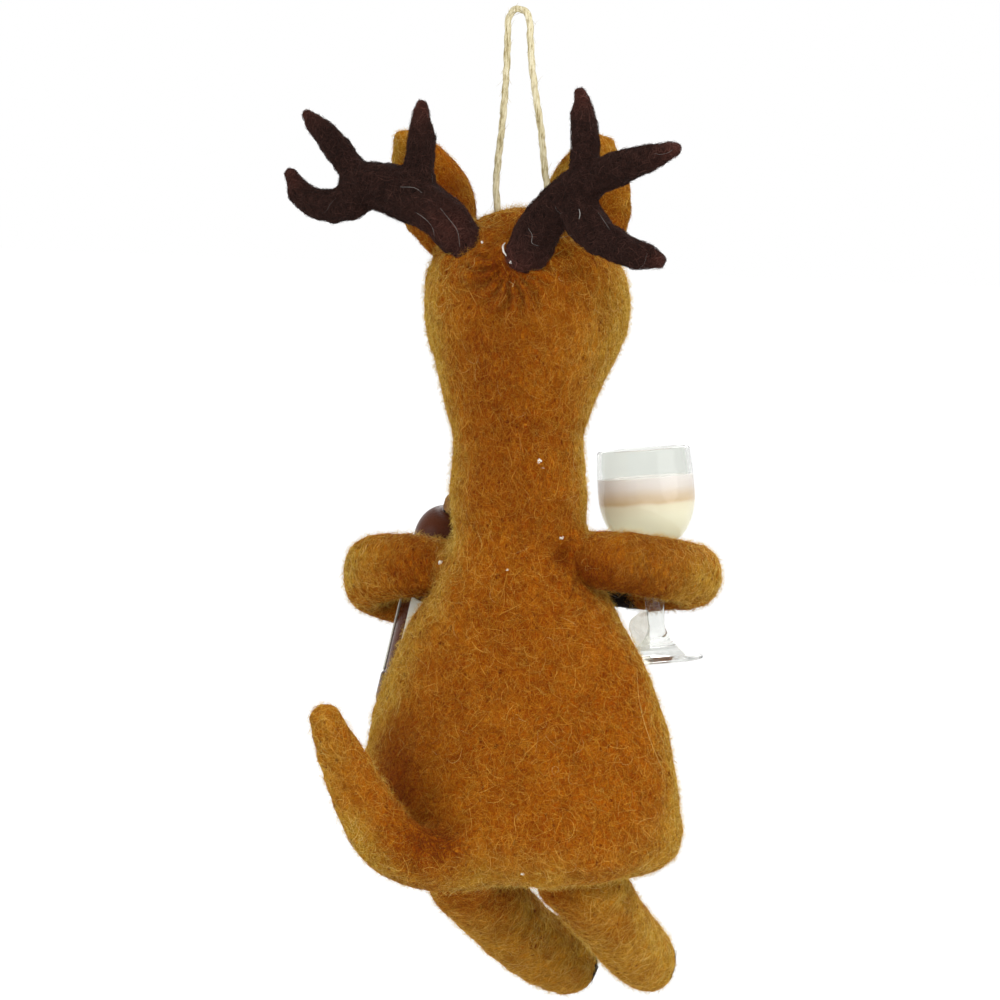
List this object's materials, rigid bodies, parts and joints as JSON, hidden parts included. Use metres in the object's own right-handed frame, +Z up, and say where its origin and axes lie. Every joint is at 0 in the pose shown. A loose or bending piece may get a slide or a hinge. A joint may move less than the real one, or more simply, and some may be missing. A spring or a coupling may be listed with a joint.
{
  "type": "hanging felt reindeer ornament",
  "caption": "Felted wool reindeer on a twine loop, with bendable arms and legs, a wine glass in one arm and a capped bottle in the other.",
  "frame": {"origin": "the top of the hanging loop, where it goes over the hook", "axes": "+Z up; the reindeer looks along -Y, so its left side is +X and its back is +Y"},
  "size_m": [0.0714, 0.0632, 0.1714],
  "materials": {
    "wool": "needle-felted wool, fuzzy",
    "dark_wool": "needle-felted wool, fuzzy",
    "black_wool": "needle-felted wool, fuzzy",
    "bead": "glossy",
    "wire": "drawn wire",
    "jute": "twisted twine",
    "bottle": "glossy",
    "cork": "matt cork",
    "label": "matt paper",
    "clear": "clear, glossy",
    "wine": "clear cast resin in tinted bands"
  },
  "bodies": {
    "torso": {"hanging_loop": "jute", "loop_knot": "jute", "head": "wool", "muzzle": "wool", "nose": "black_wool", "left_eye": "bead", "right_eye": "bead", "left_ear": "wool", "right_ear": "wool", "left_antler_beam": "dark_wool", "left_antler_lower_tine": "dark_wool", "left_antler_upper_tine": "dark_wool", "left_antler_middle_tine": "dark_wool", "right_antler_beam": "dark_wool", "right_antler_top_tine": "dark_wool", "right_antler_side_tine": "dark_wool", "right_antler_lower_tine": "dark_wool", "neck": "wool", "torso": "wool", "tail": "wool", "shoulder_wire": "wire", "hip_wire": "wire"},
    "left_arm": {"left_arm": "wool", "left_front_hoof": "black_wool", "left_arm_wire": "wire", "bottle": "bottle", "cork": "cork", "bottle_label": "label"},
    "right_arm": {"right_arm": "wool", "right_front_hoof": "black_wool", "right_arm_wire": "wire", "wine_glass": "clear", "wine": "wine"},
    "left_leg": {"left_leg": "wool", "left_back_hoof": "black_wool", "left_leg_wire": "wire"},
    "right_leg": {"right_leg": "wool", "right_back_hoof": "black_wool", "right_leg_wire": "wire"}
  },
  "joints": [
    {"name": "left_shoulder", "type": "hinge", "parent": "torso", "child": "left_arm", "pos_m": [0.01327, 0, -0.0939], "axis": [0, 0, 1], "range_deg": [0, 30]},
    {"name": "right_shoulder", "type": "hinge", "parent": "torso", "child": "right_arm", "pos_m": [-0.01196, 0, -0.0906], "axis": [0, 0, -1], "range_deg": [0, 30]},
    {"name": "left_hip", "type": "hinge", "parent": "torso", "child": "left_leg", "pos_m": [0.0117, -0.0045, -0.147], "axis": [1, 0, 0], "range_deg": [0, 40]},
    {"name": "right_hip", "type": "hinge", "parent": "torso", "child": "right_leg", "pos_m": [-0.0104, -0.0045, -0.147], "axis": [1, 0, 0], "range_deg": [0, 40]}
  ]
}
